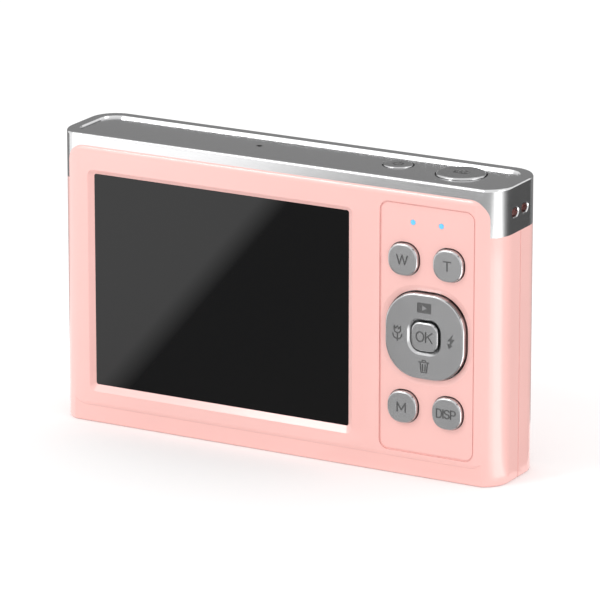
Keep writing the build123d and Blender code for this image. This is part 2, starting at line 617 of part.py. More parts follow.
def usb_port():
    """Socket shell, open to the left, with its tongue."""
    shell = along_x(SlotOverall(USB_W, USB_H, rotation=90), USB_Y, USB_Z, -49.9, -42.6)
    shell -= along_x(SlotOverall(USB_W - 0.6, USB_H - 0.6, rotation=90), USB_Y, USB_Z, -51, -43.4)
    tongue = box(-49.2, -43.3, USB_Y - 0.35, USB_Y + 0.35, USB_Z - 3.3, USB_Z + 3.3)
    return shell + tongue


def card_socket():
    shell = box(-48.3, -34.2, BOARD_Y1, -2.2, CARD_Z0 - 1.3, CARD_Z1 + 1.3)
    return shell - box(-49, -34.8, CARD_Y0 - 0.1, CARD_Y1 + 0.1, CARD_Z0 - 0.1, CARD_Z1 + 0.1)


def memory_card():
    card = box(-49.8, -34.9, CARD_Y0, CARD_Y1, CARD_Z0, CARD_Z1)
    card -= box(-41, -34, CARD_Y0 - 1, CARD_Y1 + 1, CARD_Z0 - 1, CARD_Z0 + 1.2)
    return chamfer(card.edges().filter_by(Axis.Y).sort_by(Axis.X)[:2], 0.5)


def mid_frame():
    """Plate between the boards and the front half, with posts for the case screws."""
    part = slab(-46.1, 46.1, 2.6, 51.8, 1.5, FRAME_Y0, FRAME_Y1)
    part -= rod_y(LENS_X, LENS_Z, 7.4, -2, 2)
    part -= slab(-42, -24, 20, 46, 2, -2, 2)
    part -= slab(0, 10, 12, 44, 2, -2, 2)
    part -= slab(-20, -6, 44.5, 50, 1.5, -2, 2)
    part -= box(-5.5, 5.5, -2, 2, 0, 8.2)
    part += box(20, 40, FRAME_Y0, FRAME_Y1, 51, TOP_BOARD_Z0)
    for x in BOTTOM_SCREWS_X:
        post = box(x - 2.0, x + 2.0, FRAME_Y0, TRIPOD_Y + 2.0, 1.5, 5.5)
        part += post - rod_z(x, TRIPOD_Y, SCREW_R + 0.02, 0, 5)
    for z in SIDE_SCREWS_Z:
        post = box(-48.45, -44.5, FRAME_Y0, TRIPOD_Y + 0.4, z - 2.0, z + 2.0)
        part += post - rod_x(TRIPOD_Y - 1.6, z, SCREW_R + 0.02, -49, -45)
    for x, z in BACK_BOSSES:
        if abs(x) < 46 or z > 40:
            part -= rod_y(x, z, 1.9, -2, 2)
    return part


def speaker():
    return box(-34, -16, 1.4, 7.8, 1.5, 4.4)


def tripod_socket():
    """Threaded insert, its wall drawn at the thread's inner size, with grooves that key it."""
    part = rod_z(0, TRIPOD_Y, TRIPOD_OUTER_R - 0.01, 0, TRIPOD_DEPTH)
    part -= rod_z(0, TRIPOD_Y, TRIPOD_R, -1, TRIPOD_DEPTH - 1.0)
    ring = rod_z(0, TRIPOD_Y, TRIPOD_OUTER_R + 1, 3.2, 3.9) - rod_z(0, TRIPOD_Y, TRIPOD_OUTER_R - 0.35, 3, 4)
    return part - ring


# ---------------------------------------------------------------- battery

def battery():
    part = box(BATTERY_X0, BATTERY_X1, BATTERY_Y0, BATTERY_Y1, BATTERY_Z0, BATTERY_Z1)
    return fillet(part.edges().filter_by(Axis.Z), 1.2)


def battery_chamber():
    part = box(11.4, 44.7, 0.85, 8.15, 1.65, 44.4)
    part -= box(12.2, 44.0, 1.45, 7.6, 0, 43.6)
    part -= slab(18, 38, 12, 34, 2, 0.5, 1.45)
    for x in contact_places():
        part -= box(x - 1.0, x + 1.0, 3.6, 5.6, 43, 45)
    return part


def contact_places():
    return [18.0 + 4.5 * i for i in range(3)]


def battery_contacts():
    """Three sprung leaves in the roof of the chamber."""
    leaves = []
    for x in contact_places():
        leaf = box(x - 0.9, x + 0.9, 3.7, 5.5, 42.14, 45.2) - box(x - 1, x + 1, 4.0, 5.6, 42.4, 44.95)
        leaves.append(leaf)
    return leaves


def battery_door():
    part = box(DOOR_X0, HINGE_X, DOOR_Y0, DOOR_Y1, 0, WALL)
    part = chamfer(level_edges(part, 0), 0.12)
    near = HINGE_X - HINGE_R - 0.12
    for y0, y1 in ((DOOR_Y0 - 1, DOOR_Y0 + 0.65), (DOOR_Y1 - 0.65, DOOR_Y1 + 1)):
        part -= box(near, HINGE_X + 1, y0, y1, -1, WALL + 1)
    part -= box(HINGE_X - 0.6, HINGE_X + 1, DOOR_Y0, DOOR_Y1, -1, WALL + 1)
    part += rod_y(HINGE_X, HINGE_Z, HINGE_R, DOOR_Y0 + 0.65, DOOR_Y1 - 0.65)
    part += box(15, 41.5, 2.6, 6.4, WALL, WALL + 0.9)
    part -= rod_y(HINGE_X, HINGE_Z, PIN_R + 0.05, 0, 10)
    nail = Pos(DOOR_X0 + 1.9, (DOOR_Y0 + DOOR_Y1) / 2, -0.9) * Sphere(1.6)
    return part - nail


def battery_door_pin():
    return rod_y(HINGE_X, HINGE_Z, PIN_R, DOOR_Y0 - 0.05, DOOR_Y1 + 0.05)


# ---------------------------------------------------------------- lens and front lights

def ring_y(outer, inner, y0, y1, x=LENS_X, z=LENS_Z):
    return rod_y(x, z, outer, y0, y1) - rod_y(x, z, inner, y0 - 1, y1 + 1)


def turned(profile):
    """A solid of revolution about the lens axis, from (radius, y) points."""
    plane = Plane(origin=(LENS_X, 0, LENS_Z), x_dir=(1, 0, 0), z_dir=(0, 0, 1))
    return revolve(plane * Polygon(*profile, align=None), Axis((LENS_X, 0, LENS_Z), (0, 1, 0)))


def lens_ring():
    """Bright ring round the barrel, seated in the front cover."""
    shape = turned([(RING_INNER_R, FRONT - 1.8), (RING_INNER_R + 1.3, FRONT - 1.8),
                    (RING_INNER_R + 1.3, FRONT + 0.02), (RING_R, FRONT + 0.02),
                    (RING_R, FRONT + 1.2), (RING_R - 1.4, RING_FRONT),
                    (RING_INNER_R + 0.5, RING_FRONT), (RING_INNER_R, RING_FRONT - 0.5)])
    return fillet([e for e in shape.edges() if e.geom_type == GeomType.CIRCLE
                   and abs(e.radius - (RING_R - 1.4)) < 0.01], 0.5)


def lens_barrel_cover():
    """Black fixed barrel with a stepped cone inside its mouth."""
    r = RING_INNER_R - 0.1
    lip = BARREL_FRONT
    return turned([(7.6, FRONT - 1.8), (r, FRONT - 1.8), (r, lip - 0.9), (r - 0.9, lip), (r - 2.3, lip),
                   (r - 2.6, lip - 0.7), (r - 3.6, lip - 0.7), (r - 3.9, lip - 1.4), (r - 4.9, lip - 1.4),
                   (r - 5.1, lip - 2.0), (7.6, lip - 2.0)])


def lens_window():
    """Clear cover glass at the bottom of the cone."""
    return rod_y(LENS_X, LENS_Z, 7.55, BARREL_FRONT - 3.0, BARREL_FRONT - 2.1)


def lens_mask():
    """Black cone behind the cover glass."""
    y1 = BARREL_FRONT - 3.05
    return turned([(3.4, y1 - 1.6), (7.5, y1 - 1.6), (7.5, y1), (6.9, y1)])


def dome_lens(radius, bulge, thick, y):
    """A glass element, round on its front face, flat behind, its rim at y."""
    ball_r = (radius ** 2 + bulge ** 2) / (2 * bulge)
    blank = rod_y(LENS_X, LENS_Z, radius, y - thick, y + bulge)
    ball = Pos(LENS_X, y + bulge - ball_r, LENS_Z) * Sphere(ball_r)
    return blank & ball


def front_lens_element():
    return dome_lens(3.6, 0.9, 1.0, 8.6)


def rear_lens_element():
    return dome_lens(3.0, 0.6, 1.0, 2.4)


def lens_barrel():
    part = ring_y(5.8, 4.0, 0.6, 9.9)
    part += ring_y(4.2, 2.6, 3.1, 7.5)
    part += ring_y(4.2, 3.05, 1.4, 3.1)
    part += ring_y(4.2, 3.65, 7.5, 8.6)
    return part


def lens_holder():
    part = slab(LENS_X - 6.8, LENS_X + 6.8, LENS_Z - 6.8, LENS_Z + 6.8, 0.8, -3.3, -0.4)
    part += rod_y(LENS_X, LENS_Z, 6.9, -0.4, 6.0)
    part -= rod_y(LENS_X, LENS_Z, 5.82, -0.2, 7)
    part -= slab(LENS_X - 5.4, LENS_X + 5.4, LENS_Z - 5.4, LENS_Z + 5.4, 0.4, -4, -1.2)
    return part - slab(LENS_X - 3.4, LENS_X + 3.4, LENS_Z - 3.4, LENS_Z + 3.4, 0.3, -4, 1)


def ir_filter():
    return slab(LENS_X - 4.2, LENS_X + 4.2, LENS_Z - 4.2, LENS_Z + 4.2, 0.2, -1.62, -1.22)


def image_sensor():
    package = box(LENS_X - 4.4, LENS_X + 4.4, -3.3, -2.5, LENS_Z - 4.0, LENS_Z + 4.0)
    return package + box(LENS_X - 3.2, LENS_X + 3.2, -2.5, -2.3, LENS_Z - 2.4, LENS_Z + 2.4)


def sensor_board():
    return slab(LENS_X - 7.6, LENS_X + 7.6, LENS_Z - 7.6, LENS_Z + 11.0, 0.8, -3.8, -3.3)


def flash_window():
    w, h = FLASH_W, FLASH_H
    part = slab(FLASH_X - w / 2, FLASH_X + w / 2, FLASH_Z - h / 2, FLASH_Z + h / 2, 1.5, 8.2, FRONT - 0.05)
    part = fillet(rim_edges(part, FRONT - 0.05), 0.25)
    part += slab(FLASH_X - w / 2 - 0.7, FLASH_X + w / 2 + 0.7, FLASH_Z - h / 2 - 0.7,
                 FLASH_Z + h / 2 + 0.7, 1.8, 7.5, 8.25)
    for i in range(8):
        x = FLASH_X - 3.85 + 1.1 * i
        part -= box(x - 0.2, x + 0.2, 7.0, 7.75, FLASH_Z - 2.4, FLASH_Z + 2.4)
    return part


def flash_reflector():
    outer = box(FLASH_X - 5.2, FLASH_X + 5.2, 4.6, 7.45, FLASH_Z - 3.2, FLASH_Z + 3.2)
    wide = upright(FLASH_X, FLASH_Z)(7.5) * RectangleRounded(9.6, 5.6, 1.0)
    narrow = upright(FLASH_X, FLASH_Z)(4.5) * RectangleRounded(4.0, 3.0, 0.8)
    return outer - loft([wide, narrow])


def flash_led():
    board = box(FLASH_X - 5.6, FLASH_X + 5.6, 3.6, 4.55, FLASH_Z - 3.4, FLASH_Z + 3.4)
    return board + box(FLASH_X - 1.6, FLASH_X + 1.6, 4.55, 5.3, FLASH_Z - 1.2, FLASH_Z + 1.2)


def self_timer_lamp():
    pin = rod_y(LAMP_X, LAMP_Z, LAMP_R, 7.9, FRONT - 0.02)
    pin = fillet(rim_edges(pin, FRONT - 0.02), 0.25)
    return pin + rod_y(LAMP_X, LAMP_Z, LAMP_R + 0.7, 7.2, 8.25)


# ---------------------------------------------------------------- fasteners

def turned_screw(length):
    """A screw along +Z from its head's top at the origin, with a cross recess."""
    head = extrude(Circle(SCREW_HEAD_R), 0.6)
    head = fillet(level_edges(head, 0), 0.15)
    shank = extrude(Circle(SCREW_R), length)
    cross = box(-0.75, 0.75, -0.14, 0.14, -1, 0.35) + box(-0.14, 0.14, -0.75, 0.75, -1, 0.35)
    return head + shank - cross


def case_screws():
    under = [Pos(x, TRIPOD_Y, 0.1) * turned_screw(4.4) for x in BOTTOM_SCREWS_X]
    ends = [Pos(-WIDTH / 2 + 0.1, TRIPOD_Y - 1.6, z) * Rot(0, 90, 0) * turned_screw(4.4)
            for z in SIDE_SCREWS_Z]
    return under + ends


def board_screws():
    """Four screws through the main board into the back cover."""
    return [Pos(x, BOARD_Y1 + 0.65, z) * Rot(90, 0, 0) * turned_screw(4.5)
            for x, z in BACK_BOSSES]


# ---------------------------------------------------------------- everything

def nodes():
    made = {
        "rear_cover": rear_cover(), "front_cover": front_cover(), "top_trim": top_trim(),
        "display_window": display_window(), "lcd_panel": lcd_panel(), "lcd_backlight": lcd_backlight(),
        "lcd_bracket": lcd_bracket(), "lcd_flex": lcd_flex(),
        "ok_button": ok_button(), "nav_pad": nav_pad(), "nav_rocker_ring": nav_rocker_ring(),
        "key_switches": key_switches(), "indicator_light_pipes": indicator_light_pipes(),
        "indicator_leds": indicator_leds(),
        "shutter_button": shutter_button(), "power_button": power_button(),
        "shutter_spring": shutter_spring(),
        "top_board": top_board(), "top_switches": top_switches(),
        "microphone": microphone(), "microphone_boot": microphone_boot(),
        "main_board": main_board(), "board_chips": board_chips(), "shield_can": shield_can(),
        "board_connectors": board_connectors(), "usb_port": usb_port(), "card_socket": card_socket(),
        "memory_card": memory_card(), "mid_frame": mid_frame(), "speaker": speaker(),
        "tripod_socket": tripod_socket(),
        "battery": battery(), "battery_chamber": battery_chamber(), "battery_contacts": battery_contacts(),
        "battery_door": battery_door(), "battery_door_pin": battery_door_pin(),
        "lens_ring": lens_ring(), "lens_barrel_cover": lens_barrel_cover(), "lens_window": lens_window(),
        "lens_mask": lens_mask(), "front_lens_element": front_lens_element(),
        "rear_lens_element": rear_lens_element(), "lens_barrel": lens_barrel(), "lens_holder": lens_holder(),
        "ir_filter": ir_filter(), "image_sensor": image_sensor(), "sensor_board": sensor_board(),
        "flash_window": flash_window(), "flash_reflector": flash_reflector(), "flash_led": flash_led(),
        "self_timer_lamp": self_timer_lamp(), "case_screws": case_screws(), "board_screws": board_screws(),
    }
    marks = {"w_button": ("W", 1.8), "t_button": ("T", 1.8),
             "menu_button": ("M", 1.8), "disp_button": ("DISP", 1.7)}
    for name, (x, z) in small_key_places().items():
        text, height = marks[name]
        spacing = 0.42 if len(text) == 1 else 0.33
        made[name] = small_key(x, z, word(text, height, spacing))
    return made


def main():
    os.makedirs(PARTS, exist_ok=True)
    for name, part in nodes().items():
        solids = part if isinstance(part, list) else [part]
        placed = [TO_ORIGIN * solid for solid in solids]
        shape = placed[0] if len(placed) == 1 else Compound(children=placed)
        export_step(shape, f"{PARTS}/{name}.step")


main()
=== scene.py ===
"""Looks for the compact digital camera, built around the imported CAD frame, in metres."""

import math

import bmesh
import bpy
from mathutils import Matrix, Vector


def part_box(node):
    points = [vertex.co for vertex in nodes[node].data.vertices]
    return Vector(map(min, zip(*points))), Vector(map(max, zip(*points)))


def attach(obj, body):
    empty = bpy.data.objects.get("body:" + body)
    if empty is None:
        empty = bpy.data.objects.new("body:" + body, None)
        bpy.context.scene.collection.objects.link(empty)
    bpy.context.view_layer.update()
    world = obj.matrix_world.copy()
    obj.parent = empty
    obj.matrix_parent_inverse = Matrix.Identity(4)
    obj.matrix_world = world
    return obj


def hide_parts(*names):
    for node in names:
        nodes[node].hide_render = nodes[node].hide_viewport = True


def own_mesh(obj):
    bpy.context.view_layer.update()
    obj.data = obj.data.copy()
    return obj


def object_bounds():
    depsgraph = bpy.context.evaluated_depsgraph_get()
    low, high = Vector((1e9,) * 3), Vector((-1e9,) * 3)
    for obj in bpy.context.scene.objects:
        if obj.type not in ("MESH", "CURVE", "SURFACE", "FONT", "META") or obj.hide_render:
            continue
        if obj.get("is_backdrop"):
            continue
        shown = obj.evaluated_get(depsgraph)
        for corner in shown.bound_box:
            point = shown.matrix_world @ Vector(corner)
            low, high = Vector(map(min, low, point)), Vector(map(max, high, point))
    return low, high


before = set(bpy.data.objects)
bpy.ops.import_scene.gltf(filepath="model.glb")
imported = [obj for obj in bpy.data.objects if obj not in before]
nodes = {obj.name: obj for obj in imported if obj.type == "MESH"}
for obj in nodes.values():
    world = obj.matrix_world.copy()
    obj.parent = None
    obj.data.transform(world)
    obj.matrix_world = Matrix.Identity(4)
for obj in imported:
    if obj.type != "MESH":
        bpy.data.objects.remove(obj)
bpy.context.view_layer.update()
MM = 0.001

PINK = (0.93, 0.54, 0.50)
KEY_BASE = (0.60, 0.60, 0.605)
# tone of the painted shade inside the keys' engraved grooves
PAINTED_GROOVE_SHADE = (0.26, 0.26, 0.26)
GROOVE_SHADE_START = 0.06 * MM     # painted shade darkens the engraving from this depth below a key's face
RAMP_TOP = 8               # a card's ramp holds its brightness divided by this


def centre_of(node):
    low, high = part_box(node)
    return (low + high) / 2


# ---------------------------------------------------------------- materials

def material(name, base, roughness, metallic=0.0, **settings):
    """A Principled material. Returns it with its node tree and shader."""
    made = bpy.data.materials.new(name)
    made.use_nodes = True
    tree = made.node_tree
    shader = tree.nodes["Principled BSDF"]
    shader.inputs["Base Color"].default_value = (*base, 1)
    shader.inputs["Roughness"].default_value = roughness
    shader.inputs["Metallic"].default_value = metallic
    for key, value in settings.items():
        shader.inputs[key.replace("_", " ")].default_value = value
    made.diffuse_color = (*base, 1)
    return made, tree, shader


def coordinates(tree, stretch=(1, 1, 1)):
    source = tree.nodes.new("ShaderNodeTexCoord")
    mapping = tree.nodes.new("ShaderNodeMapping")
    mapping.inputs["Scale"].default_value = stretch
    tree.links.new(source.outputs["Object"], mapping.inputs["Vector"])
    return mapping.outputs["Vector"]


def noise(tree, vector, scale, detail=2.0, roughness=0.5):
    made = tree.nodes.new("ShaderNodeTexNoise")
    made.inputs["Scale"].default_value = scale
    made.inputs["Detail"].default_value = detail
    made.inputs["Roughness"].default_value = roughness
    tree.links.new(vector, made.inputs["Vector"])
    return made.outputs["Fac"]


def ranged(tree, value, low, high, from_low=0.3, from_high=0.7):
    made = tree.nodes.new("ShaderNodeMapRange")
    for key, number in (("From Min", from_low), ("From Max", from_high), ("To Min", low), ("To Max", high)):
        made.inputs[key].default_value = number
    tree.links.new(value, made.inputs["Value"])
    return made.outputs["Result"]


def mixed(tree, factor, first, second, blend="MIX"):
    """A colour mix: first and second are colours or sockets."""
    made = tree.nodes.new("ShaderNodeMix")
    made.data_type = "RGBA"
    made.blend_type = blend
    sockets = [s for s in made.inputs if s.type == "RGBA"]
    for socket, value in zip(sockets, (first, second)):
        if isinstance(value, tuple):
            socket.default_value = (*value, 1)
        else:
            tree.links.new(value, socket)
    tree.links.new(factor, made.inputs["Factor"])
    return [s for s in made.outputs if s.type == "RGBA"][0]


def bumped(tree, shader, height, distance, strength=1.0, after=None):
    made = tree.nodes.new("ShaderNodeBump")
    made.inputs["Distance"].default_value = distance
    made.inputs["Strength"].default_value = strength
    tree.links.new(height, made.inputs["Height"])
    if after is not None:
        tree.links.new(after, made.inputs["Normal"])
    tree.links.new(made.outputs["Normal"], shader.inputs["Normal"])
    return made.outputs["Normal"]


def calc(tree, operation, first, second=None):
    made = tree.nodes.new("ShaderNodeMath")
    made.operation = operation
    for socket, value in zip(made.inputs, (first, second)):
        if value is None:
            continue
        if isinstance(value, (int, float)):
            socket.default_value = value
        else:
            tree.links.new(value, socket)
    return made.outputs["Value"]


def textured(name, base, roughness, metallic=0.0, shade=0.06, patch=90.0, grain=4000.0, depth=2e-6,
             spread=0.05, stretch=(1, 1, 1), **settings):
    """A material with slow patches of tone, a fine grain in its relief and uneven gloss."""
    made, tree, shader = material(name, base, roughness, metallic, **settings)
    vector = coordinates(tree, stretch)
    patches = noise(tree, vector, patch, 3.0)
    fine = noise(tree, vector, grain, 2.0, 0.6)
    dark = tuple(c * (1 - shade) for c in base)
    light = tuple(min(1.0, c * (1 + shade)) for c in base)
    tree.links.new(mixed(tree, ranged(tree, patches, 0, 1), dark, light), shader.inputs["Base Color"])
    gloss = ranged(tree, fine, max(0.0, roughness - spread), roughness + spread)
    tree.links.new(gloss, shader.inputs["Roughness"])
    bumped(tree, shader, fine, depth)
    return made


def groove_mask(tree, axis, face, centre, inner, outer):
    """1 where the surface lies deeper than the face, within a square frame round the centre."""
    source = tree.nodes.new("ShaderNodeTexCoord")
    parts = tree.nodes.new("ShaderNodeSeparateXYZ")
    tree.links.new(source.outputs["Object"], parts.inputs["Vector"])
    across = [parts.outputs[i] for i in range(3) if i != axis]
    offsets = [calc(tree, "ABSOLUTE", calc(tree, "SUBTRACT", value, middle))
               for value, middle in zip(across, centre)]
    reach = calc(tree, "MAXIMUM", *offsets)
    if axis == 1:
        deep = calc(tree, "GREATER_THAN", parts.outputs[1], face + GROOVE_SHADE_START)
    else:
        deep = calc(tree, "LESS_THAN", parts.outputs[2], face - GROOVE_SHADE_START)
    within, beyond = calc(tree, "LESS_THAN", reach, outer), calc(tree, "GREATER_THAN", reach, inner)
    return calc(tree, "MULTIPLY", deep, calc(tree, "MULTIPLY", within, beyond))


def key_material(name, axis, face, centre, inner, outer):
    """Satin key metal, with painted shade darkening its engraved legends below the face."""
    made, tree, shader = material(name, KEY_BASE, 0.27, 1.0)
    vector = coordinates(tree)
    fine = noise(tree, vector, 5200, 3.0, 0.6)
    patches = noise(tree, vector, 260, 2.0)
    face_tone = mixed(tree, ranged(tree, patches, 0, 1), tuple(c * 0.95 for c in KEY_BASE), KEY_BASE)
    groove_shade = groove_mask(tree, axis, face, centre, inner, outer)
    # the engraved grooves get painted shade, a darker tone standing in for the shadow inside them
    tree.links.new(mixed(tree, groove_shade, face_tone, PAINTED_GROOVE_SHADE), shader.inputs["Base Color"])
    tree.links.new(ranged(tree, fine, 0.25, 0.27), shader.inputs["Roughness"])
    bumped(tree, shader, fine, 5e-8)
    return made


pink = textured("pink_plastic", PINK, 0.33, shade=0.012, patch=45, grain=6500, depth=1.6e-6, spread=0.04,
                Specular_IOR_Level=0.35, Coat_Weight=0.9, Coat_Roughness=0.08)
trim = textured("bright_trim", (0.74, 0.74, 0.745), 0.16, 1.0, shade=0.02, patch=60, grain=1500, depth=1e-7,
                spread=0.03, stretch=(0.15, 4, 4))
lens_trim = textured("turned_trim", (0.78, 0.78, 0.785), 0.17, 1.0, shade=0.02, patch=200, grain=5000,
                     depth=8e-7)
steel = textured("thin_steel", (0.62, 0.62, 0.63), 0.3, 1.0, shade=0.08, patch=140, grain=3000, depth=2e-6,
                 stretch=(1, 1, 6))
screw_steel = textured("screw_steel", (0.66, 0.65, 0.64), 0.26, 1.0, shade=0.08, patch=700, grain=9000)
brass = textured("brass", (0.72, 0.52, 0.24), 0.25, 1.0, shade=0.1, patch=500, grain=6000)
gold = textured("gold_contact", (0.9, 0.66, 0.28), 0.2, 1.0, shade=0.06, patch=900, grain=9000)
aluminium = textured("frame_aluminium", (0.7, 0.71, 0.72), 0.34, 1.0, shade=0.05, patch=80, grain=3500,
                     stretch=(1, 1, 5))
black = textured("black_plastic", (0.016, 0.016, 0.017), 0.42, shade=0.25, patch=150, grain=5200, depth=6e-6)
deep_black = textured("matte_black", (0.008, 0.008, 0.008), 0.62, shade=0.2, patch=300, grain=6000,
                      depth=5e-6)
chip = textured("chip_black", (0.02, 0.02, 0.022), 0.5, shade=0.3, patch=400, grain=8000, depth=8e-6)
white_plastic = textured("white_plastic", (0.82, 0.82, 0.8), 0.45, shade=0.03, patch=90, grain=3000)
beige = textured("connector_beige", (0.72, 0.66, 0.5), 0.42, shade=0.06, patch=500, grain=5000)
rubber = textured("black_rubber", (0.022, 0.022, 0.022), 0.75, shade=0.2, patch=400, grain=4000, depth=1e-5)
film = textured("polyimide", (0.5, 0.23, 0.035), 0.28, shade=0.1, patch=300, grain=1200, Coat_Weight=0.4)
ceramic = textured("sensor_ceramic", (0.09, 0.085, 0.1), 0.35, shade=0.15, patch=500, grain=4000)
phosphor = textured("led_white", (0.85, 0.78, 0.3), 0.45, shade=0.08, patch=900, grain=8000)
mirror = textured("reflector", (0.9, 0.9, 0.9), 0.08, 1.0, shade=0.02, patch=300, grain=2500, depth=6e-6)


def board_material():
    """Green solder mask over a faint pattern of copper tracks, with gold pads here and there."""
    made, tree, shader = material("board_green", (0.015, 0.13, 0.05), 0.28, Coat_Weight=0.3)
    vector = coordinates(tree)
    bricks = tree.nodes.new("ShaderNodeTexBrick")
    bricks.inputs["Scale"].default_value = 420
    bricks.inputs["Mortar Size"].default_value = 0.05
    bricks.inputs["Color1"].default_value = (0.012, 0.10, 0.04, 1)
    bricks.inputs["Color2"].default_value = (0.018, 0.15, 0.06, 1)
    bricks.inputs["Mortar"].default_value = (0.03, 0.22, 0.09, 1)
    turned = tree.nodes.new("ShaderNodeMapping")
    turned.inputs["Rotation"].default_value = (math.radians(90), 0, 0)
    tree.links.new(vector, turned.inputs["Vector"])
    tree.links.new(turned.outputs["Vector"], bricks.inputs["Vector"])
    dots = tree.nodes.new("ShaderNodeTexVoronoi")
    dots.inputs["Scale"].default_value = 330
    tree.links.new(turned.outputs["Vector"], dots.inputs["Vector"])
    pads = calc(tree, "LESS_THAN", dots.outputs["Distance"], 0.13)
    tree.links.new(mixed(tree, pads, bricks.outputs["Color"], (0.6, 0.48, 0.2)), shader.inputs["Base Color"])
    bumped(tree, shader, bricks.outputs["Fac"], 1.5e-5, 0.4)
    return made


def window_material():
    """Display window: clear hard glass over a black print and a dark display."""
    made, tree, shader = material("window_glass", (0.0035, 0.0035, 0.0037), 0.025, Specular_IOR_Level=0.54)
    vector = coordinates(tree)
    smear = noise(tree, vector, 38, 4.0, 0.55)
    tree.links.new(ranged(tree, smear, 0.02, 0.045), shader.inputs["Roughness"])
    cloud = ranged(tree, noise(tree, vector, 20, 1.0), 0, 1)
    tone = mixed(tree, cloud, (0.0032, 0.0032, 0.0035), (0.0042, 0.0042, 0.0042))
    tree.links.new(tone, shader.inputs["Base Color"])
    bumped(tree, shader, noise(tree, vector, 55, 1.0), 2e-7)
    return made


def glass_material(name, tint, thickness=0.0, roughness=0.02, grain=None):
    """Clear optic. A coated one has a thin film on it that colours its reflections."""
    made, tree, shader = material(name, tint, roughness, Transmission_Weight=1.0, IOR=1.5)
    vector = coordinates(tree)
    if thickness:
        shader.inputs["Thin Film Thickness"].default_value = thickness
        shader.inputs["Thin Film IOR"].default_value = 1.38
    height = noise(tree, vector, grain or 300, 1.0)
    tree.links.new(ranged(tree, height, roughness, roughness + 0.015), shader.inputs["Roughness"])
    bumped(tree, shader, height, 2e-7 if grain is None else 4e-6)
    return made


def light_material():
    """Clear blue pin, lit from behind, its glow a little uneven at random over its face."""
    made, tree, shader = material("blue_light", (0.10, 0.42, 0.80), 0.22)
    vector = coordinates(tree)
    tone = ranged(tree, noise(tree, vector, 2400, 2.0), 0, 1)
    colour = mixed(tree, tone, (0.10, 0.45, 0.82), (0.16, 0.55, 0.90))
    tree.links.new(colour, shader.inputs["Base Color"])
    tree.links.new(colour, shader.inputs["Emission Color"])
    shader.inputs["Emission Strength"].default_value = 0.35
    return made


def battery_material():
    """Printed wrap in two tones with plain stripes and no words."""
    made, tree, shader = material("battery_wrap", (0.03, 0.034, 0.045), 0.35, Coat_Weight=0.3)
    source = tree.nodes.new("ShaderNodeTexCoord")
    parts = tree.nodes.new("ShaderNodeSeparateXYZ")
    tree.links.new(source.outputs["Object"], parts.inputs["Vector"])
    low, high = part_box("battery")
    stripe_offset = calc(tree, "ABSOLUTE", calc(tree, "SUBTRACT", parts.outputs[2], high.z - 9 * MM))
    stripe = calc(tree, "LESS_THAN", stripe_offset, 2 * MM)
    lower = calc(tree, "LESS_THAN", parts.outputs[2], low.z + 6 * MM)
    body = mixed(tree, lower, (0.03, 0.034, 0.045), (0.20, 0.21, 0.23))
    tree.links.new(mixed(tree, stripe, body, (0.62, 0.24, 0.20)), shader.inputs["Base Color"])
    fine = noise(tree, coordinates(tree), 3000, 2.0)
    tree.links.new(ranged(tree, fine, 0.3, 0.4), shader.inputs["Roughness"])
    bumped(tree, shader, fine, 2e-6)
    return made


board = board_material()
window = window_material()
coated = glass_material("coated_glass", (0.98, 0.99, 1.0), 420)
coated_rear = glass_material("coated_glass_rear", (0.96, 0.99, 0.98), 300)
infrared = glass_material("ir_glass", (0.55, 0.85, 0.9), 350)
clear = glass_material("clear_plastic", (0.97, 0.97, 0.98), 0, 0.05, 1500)
amber = glass_material("lamp_amber", (0.95, 0.42, 0.12), 0, 0.06, 1500)
blue = light_material()
wrap = battery_material()
cell = textured("lcd_glass", (0.008, 0.008, 0.010), 0.1, shade=0.2, patch=100, grain=3000, depth=2e-7)

FINISH = {
    "rear_cover": pink, "front_cover": pink, "battery_door": pink, "top_trim": trim,
    "display_window": window, "lcd_panel": cell, "lcd_backlight": white_plastic, "lcd_bracket": steel,
    "lcd_flex": film, "nav_rocker_ring": steel, "key_switches": steel, "indicator_light_pipes": blue,
    "indicator_leds": phosphor, "shutter_spring": screw_steel, "top_board": board, "top_switches": steel,
    "microphone": steel, "microphone_boot": rubber, "main_board": board, "board_chips": chip,
    "shield_can": steel, "board_connectors": beige, "usb_port": steel, "card_socket": steel,
    "memory_card": black, "mid_frame": aluminium, "speaker": black, "tripod_socket": brass, "battery": wrap,
    "battery_chamber": black, "battery_contacts": gold, "battery_door_pin": screw_steel,
    "lens_ring": lens_trim, "lens_barrel_cover": black, "lens_window": coated, "lens_mask": deep_black,
    "front_lens_element": coated, "rear_lens_element": coated_rear, "lens_barrel": deep_black,
    "lens_holder": black, "ir_filter": infrared, "image_sensor": ceramic, "sensor_board": board,
    "flash_window": clear, "flash_reflector": mirror, "flash_led": phosphor, "self_timer_lamp": amber,
    "case_screws": screw_steel, "board_screws": screw_steel,
}


def finish_node(name, made):
    data = nodes[name].data
    data.materials.clear()
    data.materials.append(made)


for name, made in FINISH.items():
    finish_node(name, made)

for name in ("w_button", "t_button", "menu_button", "disp_button", "ok_button"):
    middle = centre_of(name)
    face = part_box(name)[0].y
    finish_node(name, key_material("key_" + name, 1, face, (middle.x, middle.z), -1.0, 2.45 * MM))
middle = centre_of("nav_pad")
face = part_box("nav_pad")[0].y
finish_node("nav_pad", key_material("key_nav", 1, face, (middle.x, middle.z), 4.2 * MM, 7.9 * MM))
for name, reach in (("shutter_button", 2.4), ("power_button", 1.9)):
    middle = centre_of(name)
    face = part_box(name)[1].z
    finish_node(name, key_material("key_" + name, 2, face, (middle.x, middle.y), -1.0, reach * MM))


# ---------------------------------------------------------------- added pieces

def piece(name, mesh, made, body):
    obj = bpy.data.objects.new(name, mesh)
    bpy.context.scene.collection.objects.link(obj)
    mesh.materials.clear()
    mesh.materials.append(made)
    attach(obj, body)
    return obj


def mesh_of(name, corners, faces):
    mesh = bpy.data.meshes.new(name)
    mesh.from_pydata([tuple(c * MM for c in corner) for corner in corners], [], faces)
    mesh.update()
    return mesh


